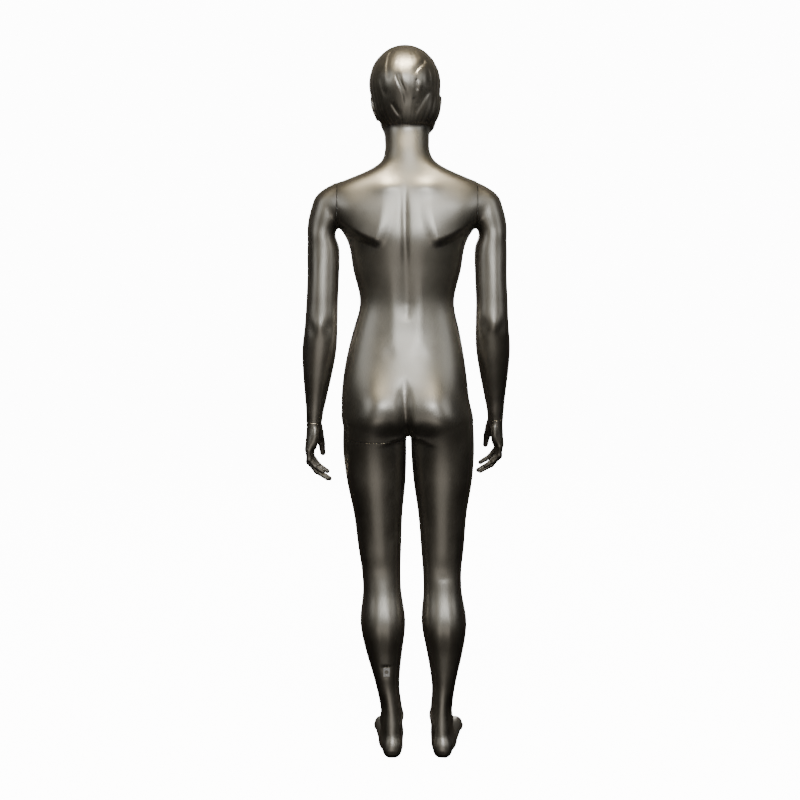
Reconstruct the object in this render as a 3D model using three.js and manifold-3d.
// Full-body female display mannequin: a hollow glass-fibre trunk moulded in one with the head and
// the right leg, a left leg that pulls off at the top of the thigh, two arms that turn on keyed
// shoulder studs, and two hands that turn on bayonet wrist plugs.
// Millimetres. +Z is up, the figure faces -Y and its left side is +X.
// The origin is on the floor, under the middle of the figure's bounding box.
import * as THREE from "three";
import { mergeVertices } from "three/addons/utils/BufferGeometryUtils.js";
import Module from "manifold-3d";

const wasm = await Module();
wasm.setup();

// Driving dimensions.
const WALL = 3; // glass-fibre laminate
const FIT = 0.4; // clearance round anything set into a shell
const SIDES = 20; // points round the trunk and the legs
const SHOULDER = { x: 170, y: 4, z: 1406 }; // centre of the arm joint on its seam plane
const SEAM = 1; // gap at every joint seam
const HIP = { x: 80, y: 2, z: 820 }; // centre of the left leg's joint on its seam plane
const BOARD = 9; // plywood closing boards
const PLATE = 2.5; // steel fitting plates
const RECESS = 3; // a board sits this far inside its seam
const SOLE = 0; // height of the floor

// ---- finishes -------------------------------------------------------------------------------
const finish = (color, roughness, metalness) =>
  new THREE.MeshStandardMaterial({ color, roughness, metalness });
const paint = finish(0x6e6a61, 0.28, 0.9); // pewter metallic lacquer
const plywood = finish(0xb08d5e, 0.8, 0);
const steel = finish(0xb9bcc0, 0.35, 1);
const nylon = finish(0x24262a, 0.55, 0);
const chrome = finish(0xd8dadd, 0.18, 1);

// ---- solids ---------------------------------------------------------------------------------
function solid(geometry) {
  const bare = geometry.clone();
  bare.deleteAttribute("normal");
  bare.deleteAttribute("uv");
  const merged = mergeVertices(bare, 1e-3);
  return new wasm.Manifold(
    new wasm.Mesh({
      numProp: 3,
      vertProperties: new Float32Array(merged.attributes.position.array),
      triVerts: new Uint32Array(merged.index.array),
    }),
  );
}

function geometryOf(made) {
  const mesh = made.getMesh();
  const points = new Float32Array(mesh.numVert * 3);
  for (let i = 0; i < mesh.numVert; i++) {
    points.set(mesh.vertProperties.subarray(i * mesh.numProp, i * mesh.numProp + 3), i * 3);
  }
  return new THREE.BufferGeometry()
    .setAttribute("position", new THREE.BufferAttribute(points, 3))
    .setIndex(new THREE.BufferAttribute(mesh.triVerts, 1));
}

// The mirror image of a solid, left for right.
function mirrored(made) {
  const geometry = geometryOf(made).scale(-1, 1, 1);
  geometry.index.array.reverse(); // a mirror turns every face round
  return solid(geometry);
}

const join = (...solids) => solids.reduce((all, next) => all.add(next));

// A box from its lowest to its highest corner.
function block(low, high) {
  const size = high.map((value, i) => value - low[i]);
  return solid(
    new THREE.BoxGeometry(...size).translate(...low.map((value, i) => value + size[i] / 2)),
  );
}

// A cylinder from one point to another, or a cone where the end radius differs.
function rod(from, to, radius, segments = 14, endRadius = radius) {
  const start = new THREE.Vector3(...from);
  const end = new THREE.Vector3(...to);
  const length = start.distanceTo(end);
  const turn = new THREE.Quaternion().setFromUnitVectors(
    new THREE.Vector3(0, 1, 0),
    end.clone().sub(start).normalize(),
  );
  return solid(
    new THREE.CylinderGeometry(endRadius, radius, length, segments)
      .translate(0, length / 2, 0)
      .applyQuaternion(turn)
      .translate(...from),
  );
}

function ellipsoid(centre, radii, across = 14, down = 8) {
  return solid(
    new THREE.SphereGeometry(1, across, down)
      .rotateX(Math.PI / 2)
      .scale(...radii)
      .translate(...centre),
  );
}

// Closed skin over a row of rings that all have the same number of points.
function skin(rings) {
  const count = rings[0].length;
  const points = rings.flat();
  const faces = [];
  for (let r = 0; r + 1 < rings.length; r++) {
    for (let i = 0; i < count; i++) {
      const a = r * count + i;
      const b = r * count + ((i + 1) % count);
      faces.push(a, b, b + count, a, b + count, a + count);
    }
  }
  const cap = (ring, offset, flip) => {
    const middle = ring.reduce((sum, p) => sum.add(p), new THREE.Vector3()).divideScalar(count);
    points.push(middle);
    for (let i = 0; i < count; i++) {
      const pair = [offset + i, offset + ((i + 1) % count)];
      faces.push(points.length - 1, ...(flip ? pair.reverse() : pair));
    }
  };
  cap(rings[0], 0, true);
  cap(rings.at(-1), (rings.length - 1) * count, false);
  const made = solid(new THREE.BufferGeometry().setFromPoints(points).setIndex(faces));
  if (made.volume() > 0) return made;
  return solid(new THREE.BufferGeometry().setFromPoints(points).setIndex(faces.reverse()));
}

// One oval ring: centre plus two half axes, squared off a little by a power above 2.
function ring(centre, across, along, back = 1, power = 2.3, count = SIDES) {
  return Array.from({ length: count }, (_, i) => {
    const angle = (2 * Math.PI * i) / count;
    const round = (value) => Math.sign(value) * Math.abs(value) ** (2 / power);
    const depth = round(Math.sin(angle)) * (Math.sin(angle) > 0 ? back : 1);
    return centre.clone().addScaledVector(across, round(Math.cos(angle)))
      .addScaledVector(along, depth);
  });
}

// Brings a hollow's end rows in, so that the wall is as thick over sloping ends as at the sides:
// rows below the lower height move up, and rows above the upper height move down.
const drawIn = (rows, lower, upper, by) =>
  rows.map(([z, ...rest]) => [z + (z <= lower ? by : 0) - (z >= upper ? by : 0), ...rest]);

// Upright limb or trunk. Each row is [height, centre x, half width, centre y, front, back]: how
// far the section reaches sideways, forwards and backwards from its centre.
function upright(rows, inset = 0, power = 2.3) {
  return skin(
    rows.map(([z, x, halfWidth, y, front, back]) =>
      ring(
        new THREE.Vector3(x, y, z),
        new THREE.Vector3(Math.max(halfWidth - inset, 1), 0, 0),
        new THREE.Vector3(0, Math.max(front - inset, 1), 0),
        Math.max(back - inset, 1) / Math.max(front - inset, 1),
        power,
      ),
    ),
  );
}

// ---- the figure's landmarks -----------------------------------------------------------------
// [height, sway towards the left side, half width, centre y, front, back]
const TRUNK = [
  [840, 2, 160, 4, 82, 90], // crotch
  [900, 5, 160, 6, 92, 102], // fullest hips
  [960, 6, 158, 2, 98, 98],
  [1030, 4, 147, -6, 98, 90], // hip bones
  [1090, 2, 132, -11, 92, 80],
  [1160, 0, 116, -12, 82, 78], // waist
  [1240, 0, 133, -5, 90, 88], // ribs
  [1320, 0, 151, -1, 92, 92], // armpit
  [1370, 0, 184, 0, 82, 90],
  [1410, 0, 210, 3, 70, 82], // shoulder point
  [1440, -1, 196, 8, 57, 70],
  [1460, -4, 156, 13, 49, 61],
  [1480, -5, 106, 16, 44, 54], // trapezius
  [1500, -3, 68, 17, 45, 50], // base of the neck
  [1530, 0, 54, 14, 50, 49],
  [1560, -1, 55, 9, 52, 49],
  [1640, 3, 52, -4, 50, 50],
];
const HEAD = [
  [1556, 2, 18, -76, 18, 16], // chin
  [1575, 2, 43, -56, 43, 48], // jaw
  [1600, 2, 66, -27, 75, 90], // hairline at the nape
  [1650, 4, 80, -10, 93, 106], // ears
  [1710, 5, 87, -5, 96, 104], // widest hair
  [1750, 5, 70, -3, 79, 84],
  [1770, 5, 46, -2, 52, 55],
  [1781, 5, 14, -1, 16, 18], // crown
];
// One leg shape serves both legs. Its second number is a bow outwards from the leg's own line.
const LEG = [
  [-6, 0, 21, 30, 33, 40], // sole
  [60, 0, 27, 21, 36, 47], // heel
  [110, 0, 27, 18, 33, 40], // ankle
  [170, 5, 30, 18, 31, 33],
  [260, 8, 46, 13, 38, 44],
  [340, 6, 58, 11, 45, 57], // calf
  [430, 2, 49, 1, 47, 43],
  [475, 1, 50, -5, 53, 43], // knee
  [530, 2, 55, -6, 59, 51],
  [620, 2, 62, -6, 70, 61],
  [720, 3, 76, -4, 80, 75], // thigh
  [820, 2, 80, 2, 82, 84],
  [905, 0, 72, 2, 76, 84], // inside the pelvis
];
const BETWEEN_LEGS = -4; // middle of the gap between the legs
const HIP_HEIGHT = 820;
const KNEE_HEIGHT = 475;
const ANKLE_HEIGHT = 100;
// How far each leg's line stands from the middle at the hip, the knee and the ankle.
const STANCE = {
  left: { side: 1, hip: 80, knee: 65, ankle: 39 },
  right: { side: -1, hip: 88, knee: 90, ankle: 90 },
};

function legLine({ hip, knee, ankle }, z) {
  const [low, high, bottom, top] =
    z > KNEE_HEIGHT
      ? [KNEE_HEIGHT, HIP_HEIGHT, knee, hip]
      : [ANKLE_HEIGHT, KNEE_HEIGHT, ankle, knee];
  const share = THREE.MathUtils.clamp((z - low) / (high - low), 0, 1);
  return THREE.MathUtils.lerp(bottom, top, share);
}

function legRows(stance, low, high) {
  return LEG.filter(([z]) => z >= low && z <= high).map(([z, bow, ...rest]) => [
    z, stance.side * (legLine(stance, z) + bow), ...rest,
  ]);
}

const LIMB_POWER = 2.15; // how squared off a limb's sections are
const HIP_START = 700; // the left hip is made from here up, then cut at its seam
const LEG_TOP = 905; // both legs run up inside the pelvis to here
const INSTEP = 60; // the feet are solid below here

// Foot rows: [distance from the back of the heel, half width, height, sideways drift].
const FOOT = [
  [1, 8, 26, 0],
  [7, 17, 42, 0],
  [22, 23, 56, 0],
  [50, 25, 70, 0],
  [85, 27, 78, 1],
  [115, 30, 66, 2],
  [145, 34.5, 51, 2],
  [172, 37.5, 40, 1],
  [198, 36.5, 30, 0],
  [218, 31, 24, -3],
  [234, 20, 19, -6],
  [240, 8, 13, -7],
];
const HEEL_BACK = 77; // how far behind the body's middle plane the heels reach

// Heel centre x, and how far the toes turn out, for each foot.
const LEFT_FOOT = { x: 36, out: 4 };
const RIGHT_FOOT = { x: -89, out: -8 };

function foot({ x, out }, inset = 0) {
  const outward = Math.sign(x) || 1;
  const rings = FOOT.map(([along, halfWidth, height, drift]) => {
    const middle = height * 0.42; // the widest part of a foot is low
    return ring(
      new THREE.Vector3(outward * drift, -along, middle),
      new THREE.Vector3(halfWidth - inset, 0, 0),
      new THREE.Vector3(0, 0, height - middle - inset),
      1,
      2.2,
      16,
    );
  });
  const turn = new THREE.Matrix4()
    .makeTranslation(x, HEEL_BACK, 0)
    .multiply(new THREE.Matrix4().makeRotationZ(THREE.MathUtils.degToRad(out)));
  return skin(rings.map((points) => points.map((p) => p.applyMatrix4(turn))));
}

const FAR = 400; // beyond the figure in any direction across
const BELOW_FLOOR = block([-FAR, -FAR, -200], [FAR, FAR, SOLE]);

// ---- trunk, head and right leg --------------------------------------------------------------
// The trunk, head, right leg and left hip as one solid, or its hollow when there is an inset.
function wholeTrunk(inset) {
  const ends = inset ? WALL : 0;
  const trunk = upright(drawIn(TRUNK, 840, 1370, ends), inset);
  const head = upright(drawIn(HEAD, 1600, 1750, ends), inset, 2.1);
  const rightSole = inset ? INSTEP : LEG[0][0];
  const rightLeg = upright(legRows(STANCE.right, rightSole, LEG_TOP), inset, LIMB_POWER);
  const leftHip = upright(legRows(STANCE.left, HIP_START, LEG_TOP), inset, LIMB_POWER);
  return join(trunk, head, rightLeg, leftHip);
}

function trunkShell() {
  const breast = (side) => ellipsoid([side * 66, -64, 1280], [62, 60, 64]);
  const buttock = (side) => ellipsoid([4 + side * 68, 55, 910], [74, 66, 84]);
  const ear = (side) => ellipsoid([3 + side * 80, -6, 1652], [7, 17, 31], 8, 6);
  const nose = rod([2, -94, 1668], [2, -108, 1636], 5, 6, 11);
  const outer = join(
    wholeTrunk(0),
    breast(1),
    breast(-1),
    buttock(1),
    buttock(-1),
    ear(1),
    ear(-1),
    nose,
    foot(RIGHT_FOOT),
  );
  const beyondSeams = join(
    block([SHOULDER.x, -FAR, 1200], [FAR, FAR, 1600]),
    block([-FAR, -FAR, 1200], [-SHOULDER.x, FAR, 1600]),
    block([BETWEEN_LEGS, -FAR, 500], [FAR, FAR, HIP.z]),
    BELOW_FLOOR,
  );
  return outer.subtract(wholeTrunk(WALL)).subtract(beyondSeams);
}

// ---- left leg -------------------------------------------------------------------------------
const CALF = { x: 52, y: 54.5, z: 223 }; // middle of the support plate's outer face
const CALF_PLATE = { width: 16, height: 23, thick: 2 };
const ROD_BORE = 5.2; // radius that takes a 10 mm support rod
const CALF_TUBE = { radius: 8, length: 44 };
const BACKWARDS = [0, 1, 0];
const CALF_SCREW_IN = 3; // from each end of the plate
const CALF_SCREWS = [1, -1].map((end) => [
  CALF.x,
  CALF.y,
  CALF.z + end * (CALF_PLATE.height / 2 - CALF_SCREW_IN),
]);

const calfScrewHoles = () =>
  join(...CALF_SCREWS.map((at) => rod(lift(at, BACKWARDS, 3), lift(at, BACKWARDS, -9), 1.4, 8)));

function leftLegCavity(inset) {
  return upright(legRows(STANCE.left, INSTEP, LEG_TOP), inset, LIMB_POWER);
}

function leftLegShell() {
  const rows = legRows(STANCE.left, LEG[0][0], LEG_TOP);
  const outer = join(upright(rows, 0, LIMB_POWER), foot(LEFT_FOOT));
  const { width, height, thick } = CALF_PLATE;
  const pocket = block(
    [CALF.x - width / 2 - FIT, CALF.y - thick - FIT, CALF.z - height / 2 - FIT],
    [CALF.x + width / 2 + FIT, CALF.y + 20, CALF.z + height / 2 + FIT],
  );
  const tubeHole = rod(
    [CALF.x, CALF.y, CALF.z],
    [CALF.x, CALF.y - 20, CALF.z],
    CALF_TUBE.radius + FIT,
  );
  return outer
    .subtract(leftLegCavity(WALL))
    .subtract(block([-FAR, -FAR, HIP.z - SEAM], [FAR, FAR, 1000]))
    .subtract(BELOW_FLOOR)
    .subtract(pocket)
    .subtract(tubeHole)
    .subtract(calfScrewHoles());
}

// ---- arms -----------------------------------------------------------------------------------
// Landmarks of an arm, for a left arm: [inner x, inner z, outer x, outer z, middle y, half depth].
// The first ones fan round the armpit, from the upright seam face to a level section.
const ARM_SIDES = 16;
const ARM_SEAM = SHOULDER.x + SEAM;
const UPPER_ARM = [
  [ARM_SEAM, 1354, ARM_SEAM, 1458, 6, 50], // seam
  [ARM_SEAM, 1351, 206, 1440, 4, 49],
  [ARM_SEAM, 1348, 235, 1396, 2, 48], // point of the shoulder
  [ARM_SEAM, 1338, 246, 1352, 2, 46], // armpit
  [168, 1310, 248, 1310, 4, 43],
  [169, 1230, 247, 1230, 8, 40],
  [173, 1145, 251, 1145, 13, 38], // above the elbow
];
// Forearm landmarks: [share of the way from elbow to wrist, half width, half depth].
const FOREARM = [
  [0, 42, 38],
  [0.25, 43, 41], // fullest forearm
  [0.5, 36, 36],
  [0.75, 29, 30],
  [1, 20, 26], // wrist
];
const ARMS = {
  left: { elbow: [214, 12, 1105], wrist: [237, -27, 861] },
  right: { elbow: [212, 12, 1110], wrist: [230, -62, 866] },
};
const ELBOW_EASE = 0.55; // share of the forearm over which its rings turn to face the wrist

function forearmAxis({ elbow, wrist }) {
  return new THREE.Vector3(...wrist).sub(new THREE.Vector3(...elbow)).normalize();
}

function armRings(arm, inset, lead) {
  const shorten = (half) => Math.max(half - inset, 1);
  const rings = UPPER_ARM.map(([xIn, zIn, xOut, zOut, y, depth]) => {
    const inner = new THREE.Vector3(xIn, y, zIn);
    const outer = new THREE.Vector3(xOut, y, zOut);
    const half = inner.distanceTo(outer) / 2;
    return ring(
      inner.clone().lerp(outer, 0.5),
      outer.sub(inner).setLength(shorten(half)),
      new THREE.Vector3(0, shorten(depth), 0),
      1,
      LIMB_POWER,
      ARM_SIDES,
    );
  });
  if (lead) {
    rings.unshift(rings[0].map((p) => p.clone().add(new THREE.Vector3(-lead, 0, 0))));
  }
  const down = forearmAxis(arm);
  const elbow = new THREE.Vector3(...arm.elbow);
  const wrist = new THREE.Vector3(...arm.wrist);
  const pitch = Math.atan2(down.y, -down.z);
  const yaw = Math.atan2(down.x, -down.z);
  const addForearm = (share, halfWidth, halfDepth) => {
    const ease = Math.min(share / ELBOW_EASE, 1);
    const across = new THREE.Vector3(1, 0, Math.tan(yaw) * ease).normalize();
    const along = new THREE.Vector3(0, Math.cos(pitch * ease), Math.sin(pitch * ease));
    rings.push(
      ring(
        elbow.clone().lerp(wrist, share),
        across.setLength(shorten(halfWidth)),
        along.setLength(shorten(halfDepth)),
        1,
        2.1,
        ARM_SIDES,
      ),
    );
  };
  FOREARM.forEach((row) => addForearm(...row));
  if (lead) addForearm(1 + lead / elbow.distanceTo(wrist), ...FOREARM.at(-1).slice(1));
  return rings;
}

const armCavity = (arm, inset) => skin(armRings(arm, inset, 8));
const armShell = (arm) => skin(armRings(arm, 0, 0)).subtract(armCavity(arm, WALL));

// ---- hands ----------------------------------------------------------------------------------
// In the hand's own frame the wrist's centre is the origin, the hand hangs along -Z, its back
// faces +X and its thumb is on the -Y side.
const PALM = [
  [-SEAM, 0, 20.5, 26, 0],
  [-14, 0.5, 18.5, 26.5, 0],
  [-30, 1.5, 17, 32, -2],
  [-52, 3, 15.5, 38.5, -1],
  [-74, 5, 13.5, 40, 0],
  [-88, 6, 9, 37, 1],
];
// Each digit: its joints as [x, y, z], and its half thickness at the root and at the tip.
const DIGITS = {
  index: { path: [[5, -29, -78], [3, -31, -107], [-16, -32, -131], [-42, -32, -146]], r: [9, 6] },
  middle: { path: [[6, -9, -82], [4, -10, -115], [-18, -10, -140], [-50, -11, -158]], r: [9, 6] },
  ring: { path: [[6, 11, -80], [4, 11, -110], [-17, 10, -134], [-46, 9, -151]], r: [8.6, 5.8] },
  little: { path: [[6, 29, -72], [3, 30, -96], [-14, 29, -114], [-34, 28, -127]], r: [7.8, 5.2] },
  thumb: { path: [[-4, -20, -18], [-13, -38, -44], [-20, -46, -74], [-25, -48, -102]], r: [12, 7] },
};

function digit({ path, r: [root, tip] }) {
  const curve = new THREE.CatmullRomCurve3(path.map((p) => new THREE.Vector3(...p)));
  const steps = 5;
  const side = new THREE.Vector3(0, 1, 0);
  const rings = [];
  for (let i = 0; i <= steps + 1; i++) {
    const share = Math.min(i / steps, 1);
    const ahead = curve.getTangentAt(share);
    const across = new THREE.Vector3().crossVectors(side, ahead).normalize();
    const along = new THREE.Vector3().crossVectors(ahead, across);
    const centre = curve.getPointAt(share);
    const last = i > steps;
    const half = last ? tip * 0.45 : THREE.MathUtils.lerp(root, tip, share);
    if (last) centre.addScaledVector(ahead, tip * 0.8);
    rings.push(ring(centre, across.multiplyScalar(half), along.multiplyScalar(half), 1, 2, 8));
  }
  return skin(rings);
}

function handSolid() {
  const palm = skin(
    PALM.map(([z, x, thick, breadth, y]) =>
      ring(new THREE.Vector3(x, y, z), new THREE.Vector3(thick, 0, 0),
        new THREE.Vector3(0, breadth, 0), 1, 2.3, 14),
    ),
  );
  const plugBore = rod([0, 0, 1], [0, 0, -WRIST.plugDepth], WRIST.flange + FIT);
  const screwBore = rod([0, 0, 0], [0, 0, -WRIST.plugDepth - 16], SCREW_HOLE, 10);
  return join(palm, ...Object.values(DIGITS).map(digit)).subtract(plugBore).subtract(screwBore);
}

// ---- fittings -------------------------------------------------------------------------------
// Pan-head screw standing on a plate: its head above the plane, its shank below, along an axis.
function screw(at, out, head = 3.6, shank = 1.9, length = 11) {
  const place = new THREE.Vector3(...at);
  const axis = new THREE.Vector3(...out).normalize();
  const point = (distance) => place.clone().addScaledVector(axis, distance).toArray();
  const turn = new THREE.Quaternion().setFromUnitVectors(new THREE.Vector3(0, 1, 0), axis);
  const profile = [
    [0, 2],
    [head * 0.7, 1.7],
    [head, 0],
    [shank, 0],
    [shank, -length + 2.5],
    [0, -length],
  ].map(([x, y]) => new THREE.Vector2(x, y)).reverse();
  const body = solid(
    new THREE.LatheGeometry(profile, 8).applyQuaternion(turn).translate(...at),
  );
  const bit = rod(point(0.9), point(3), 1.5, 6);
  return body.subtract(bit);
}

// Screws stand a little above their plate, in holes that clear their shanks.
const SCREW_RISE = 0.3;
const SCREW_HOLE = 2.4;
const lift = (at, out, by = SCREW_RISE) => at.map((value, i) => value + out[i] * by);
const screwHole = (at, out) => rod(lift(at, out, 6), lift(at, out, -14), SCREW_HOLE, 8);

const KEY = { half: 18, width: 8, thick: 4.5, shaft: 4.4 }; // the stud's locking bar
const SHOULDER_PLATE = { radius: 29, slot: 19.5, slotWidth: 9.6, screws: 23 };

// Places spread evenly on a circle round an X axis at the shoulder.
function roundShoulder(x, radius, count, start) {
  return Array.from({ length: count }, (_, i) => {
    const angle = THREE.MathUtils.degToRad(start) + (2 * Math.PI * i) / count;
    return [x, SHOULDER.y + radius * Math.cos(angle), SHOULDER.z + radius * Math.sin(angle)];
  });
}

// The trunk's half of a shoulder: a board inside the armhole and a slotted steel plate on it.
function shoulderSocket(trunkCavity) {
  const { x, y, z } = SHOULDER;
  const boardFace = x - RECESS - PLATE;
  const plateFace = boardFace + FIT / 2 + PLATE;
  const spots = roundShoulder(plateFace, SHOULDER_PLATE.screws, 3, 45);
  const out = [1, 0, 0];
  const holes = join(...spots.map((at) => screwHole(at, out)));
  const board = block([boardFace - BOARD, -200, 1300], [boardFace, 200, 1500])
    .intersect(trunkCavity)
    .subtract(rod([x, y, z], [x - 40, y, z], KEY.half + 3))
    .subtract(holes);
  const plate = rod([plateFace - PLATE, y, z], [plateFace, y, z], SHOULDER_PLATE.radius, 20)
    .subtract(block(
      [x - 20, y - SHOULDER_PLATE.slot, z - SHOULDER_PLATE.slotWidth / 2],
      [x + 5, y + SHOULDER_PLATE.slot, z + SHOULDER_PLATE.slotWidth / 2],
    ))
    .subtract(holes);
  return { board, plate, screws: spots.map((at) => screw(lift(at, out), out)) };
}

const ARM_BOARD_DROP = 46; // the arm's board ends this far below its joint

// The arm's half: a board inside the arm's end and a flange with the stud and its locking bar.
function shoulderStud(arm) {
  const { x, y, z } = SHOULDER;
  const seam = x + SEAM;
  const boardFace = seam + RECESS + PLATE;
  const flangeFace = boardFace - FIT / 2 - PLATE;
  const spots = roundShoulder(flangeFace, SHOULDER_PLATE.screws, 3, 105);
  const out = [-1, 0, 0];
  const holes = join(...spots.map((at) => screwHole(at, out)));
  const board = block([boardFace, -200, z - ARM_BOARD_DROP], [boardFace + BOARD, 200, 1500])
    .intersect(armCavity(arm, WALL + FIT))
    .subtract(holes);
  const barBack = x - RECESS - PLATE - 1.2 - KEY.thick;
  const stud = join(
    rod([flangeFace, y, z], [flangeFace + PLATE, y, z], SHOULDER_PLATE.radius, 20),
    rod([flangeFace + 1, y, z], [barBack, y, z], KEY.shaft),
    block([barBack, y - KEY.width / 2, z - KEY.half],
      [barBack + KEY.thick, y + KEY.width / 2, z + KEY.half]),
  ).subtract(holes);
  return { board, stud, screws: spots.map((at) => screw(lift(at, out), out)) };
}

// Wrist bayonet, in the hand's frame: the plug is screwed to the hand and reaches up into the
// socket that is glued into the forearm's end.
const WRIST = {
  plugDepth: 6, // how far the plug is set into the hand
  flange: 14,
  shaft: 5,
  reach: 15,
  lug: 9.5,
  lugWidth: 5,
  thick: 12, // of the socket in the forearm
  screwSeat: 2,
};

function wristSocket(cavityInHandFrame) {
  const lugRoom = join(
    rod([0, 0, -1], [0, 0, 30], WRIST.shaft + FIT),
    block([-WRIST.lug - 0.6, -WRIST.lugWidth / 2 - 0.4, -1],
      [WRIST.lug + 0.6, WRIST.lugWidth / 2 + 0.4, 8]),
    rod([0, 0, 7.5], [0, 0, 30], WRIST.lug + 0.8, 16),
  );
  return block([-60, -60, 1], [60, 60, 1 + WRIST.thick])
    .intersect(cavityInHandFrame)
    .subtract(lugRoom);
}

function wristPlug() {
  const low = -WRIST.plugDepth + FIT;
  return join(
    rod([0, 0, low], [0, 0, -SEAM], WRIST.flange, 16),
    rod([0, 0, low + 1], [0, 0, WRIST.reach - 3], WRIST.shaft),
    block([-WRIST.lugWidth / 2, -WRIST.lug, 8.6], [WRIST.lugWidth / 2, WRIST.lug, 11.6]),
  )
    .subtract(rod([0, 0, low - 2], [0, 0, 30], SCREW_HOLE, 10))
    .subtract(rod([0, 0, WRIST.screwSeat], [0, 0, 30], 3.8, 16));
}

// Square leg spigot and the socket it slides into.
const SPIGOT = { half: 12, reach: 78, socketHalf: 16, clear: 0.5, flange: 38, screws: 29 };

function flangeSpots(z) {
  return [[1, 1], [-1, 1], [-1, -1], [1, -1]].map(([sx, sy]) => [
    HIP.x + sx * SPIGOT.screws,
    HIP.y + sy * SPIGOT.screws,
    z,
  ]);
}

function hipSocket(trunkCavity) {
  const boardFace = HIP.z + RECESS + PLATE;
  const plateFace = boardFace - FIT / 2 - PLATE;
  const { x, y } = HIP;
  const { socketHalf, half, clear, reach, flange } = SPIGOT;
  const out = [0, 0, -1];
  const spots = flangeSpots(plateFace);
  const holes = join(...spots.map((at) => screwHole(at, out)));
  const board = block([0, -200, boardFace], [400, 300, boardFace + BOARD])
    .intersect(trunkCavity)
    .subtract(block([x - socketHalf - FIT, y - socketHalf - FIT, boardFace - 5],
      [x + socketHalf + FIT, y + socketHalf + FIT, boardFace + 30]))
    .subtract(holes);
  const socket = join(
    block([x - flange, y - flange, plateFace], [x + flange, y + flange, plateFace + PLATE]),
    block([x - socketHalf, y - socketHalf, plateFace],
      [x + socketHalf, y + socketHalf, HIP.z + reach + 6]),
  )
    .subtract(block([x - half - clear, y - half - clear, HIP.z - 5],
      [x + half + clear, y + half + clear, HIP.z + reach + 20]))
    .subtract(holes);
  return { board, socket, screws: spots.map((at) => screw(lift(at, out), out)) };
}

function legSpigot() {
  const boardFace = HIP.z - SEAM - RECESS - PLATE;
  const plateFace = boardFace + FIT / 2 + PLATE;
  const { x, y } = HIP;
  const { half, reach, flange } = SPIGOT;
  const out = [0, 0, 1];
  const spots = flangeSpots(plateFace);
  const holes = join(...spots.map((at) => screwHole(at, out)));
  const board = block([-200, -200, boardFace - BOARD], [400, 300, boardFace])
    .intersect(leftLegCavity(WALL + FIT))
    .subtract(holes);
  const spigot = join(
    block([x - flange, y - flange, plateFace - PLATE], [x + flange, y + flange, plateFace]),
    block([x - half, y - half, plateFace - 1], [x + half, y + half, HIP.z + reach]),
  )
    .subtract(block([x - half + 2, y - half + 2, plateFace + 2],
      [x + half - 2, y + half - 2, HIP.z + reach + 5]))
    .subtract(holes);
  return { board, spigot, screws: spots.map((at) => screw(lift(at, out), out)) };
}

// The support fitting at the back of the left calf.
function calfFitting() {
  const { x, y, z } = CALF;
  const { width, height, thick } = CALF_PLATE;
  const holes = calfScrewHoles();
  const plate = block([x - width / 2, y - thick, z - height / 2],
    [x + width / 2, y, z + height / 2])
    .subtract(rod([x, y + 1, z], [x, y - 10, z], ROD_BORE, 24))
    .subtract(holes);
  const tubeTop = y - thick - 0.3;
  const tube = rod([x, tubeTop, z], [x, tubeTop - CALF_TUBE.length, z], CALF_TUBE.radius, 24)
    .subtract(rod([x, y, z], [x, tubeTop - CALF_TUBE.length - 5, z], ROD_BORE, 24))
    .subtract(holes);
  const screws = CALF_SCREWS.map((at) => screw(lift(at, BACKWARDS), BACKWARDS, 2, 1, 5));
  return { plate, tube, screws };
}

// ---- assembly -------------------------------------------------------------------------------
const figure = new THREE.Group();

function add(parent, name, made, material) {
  const mesh = new THREE.Mesh(geometryOf(made), material);
  mesh.name = name;
  parent.add(mesh);
}

function addScrews(parent, name, screws) {
  screws.forEach((made, i) => add(parent, `${name}_screw_${i + 1}`, made, steel));
}

const trunkCavity = wholeTrunk(WALL + FIT);
add(figure, "torso_shell", trunkShell(), paint);

const hip = hipSocket(trunkCavity);
add(figure, "hip_board", hip.board, plywood);
add(figure, "hip_socket", hip.socket, steel);
addScrews(figure, "hip_socket", hip.screws);

const leg = legSpigot();
add(figure, "left_leg_shell", leftLegShell(), paint);
add(figure, "left_leg_board", leg.board, plywood);
add(figure, "left_leg_spigot", leg.spigot, steel);
addScrews(figure, "left_leg_spigot", leg.screws);

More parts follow.
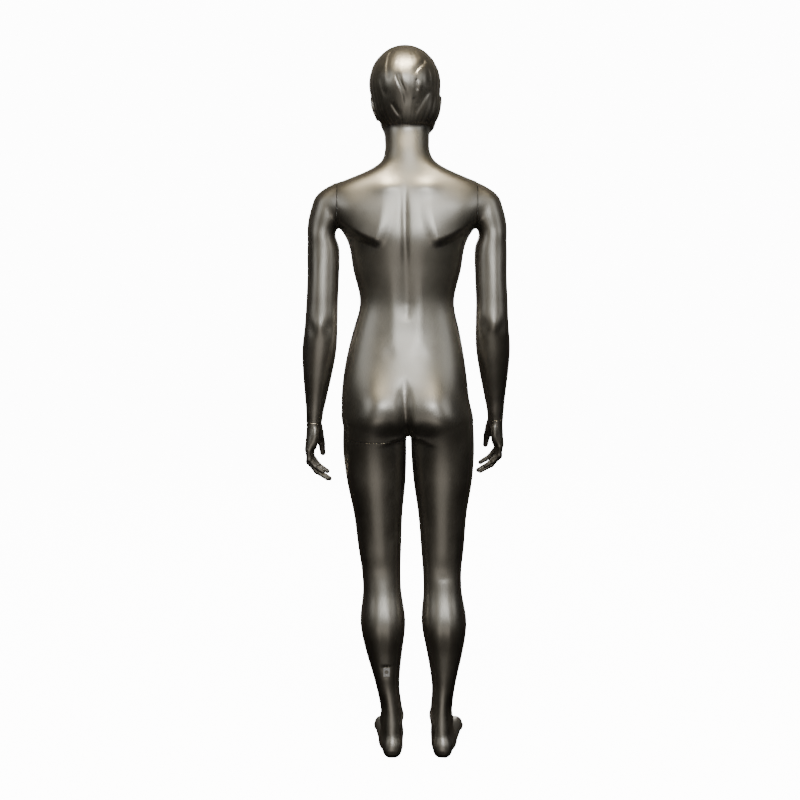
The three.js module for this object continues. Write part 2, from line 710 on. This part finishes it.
const calf = calfFitting();
add(figure, "calf_support_plate", calf.plate, chrome);
add(figure, "calf_support_tube", calf.tube, steel);
addScrews(figure, "calf_support_plate", calf.screws);

// Turns the hand's frame to the forearm's: -Z runs on along the forearm.
function handMatrix(arm) {
  const up = forearmAxis(arm).negate();
  const back = new THREE.Vector3(0, 1, 0).addScaledVector(up, -up.y).normalize();
  const outward = new THREE.Vector3().crossVectors(back, up);
  return new THREE.Matrix4().makeBasis(outward, back, up).setPosition(...arm.wrist);
}

for (const [side, arm] of Object.entries(ARMS)) {
  const half = new THREE.Group(); // built as a left half, and mirrored for the right
  half.scale.x = side === "left" ? 1 : -1;
  figure.add(half);

  const socket = shoulderSocket(side === "left" ? trunkCavity : mirrored(trunkCavity));
  add(half, `${side}_shoulder_board`, socket.board, plywood);
  add(half, `${side}_shoulder_socket`, socket.plate, steel);
  addScrews(half, `${side}_shoulder_socket`, socket.screws);

  const stud = shoulderStud(arm);
  add(half, `${side}_arm_shell`, armShell(arm), paint);
  add(half, `${side}_arm_board`, stud.board, plywood);
  add(half, `${side}_arm_stud`, stud.stud, steel);
  addScrews(half, `${side}_arm_stud`, stud.screws);

  const hand = new THREE.Group();
  hand.applyMatrix4(handMatrix(arm));
  half.add(hand);
  const toHand = handMatrix(arm).invert();
  const rings = armRings(arm, WALL + FIT, 8);
  const cavity = skin(rings.map((points) => points.map((p) => p.applyMatrix4(toHand))));
  add(hand, `${side}_wrist_socket`, wristSocket(cavity), nylon);
  add(hand, `${side}_wrist_plug`, wristPlug(), steel);
  add(hand, `${side}_wrist_plug_screw`,
    screw([0, 0, WRIST.screwSeat + 0.3], [0, 0, 1], 3.2, 1.9, 18), steel);
  add(hand, `${side}_hand`, handSolid(), paint);
}

// Put the origin on the floor under the middle of the bounding box.
const box = new THREE.Box3().setFromObject(figure, true);
const middle = box.getCenter(new THREE.Vector3());
figure.position.set(-middle.x, -middle.y, -box.min.z);

const mannequin = new THREE.Group();
mannequin.add(figure);

export default mannequin;
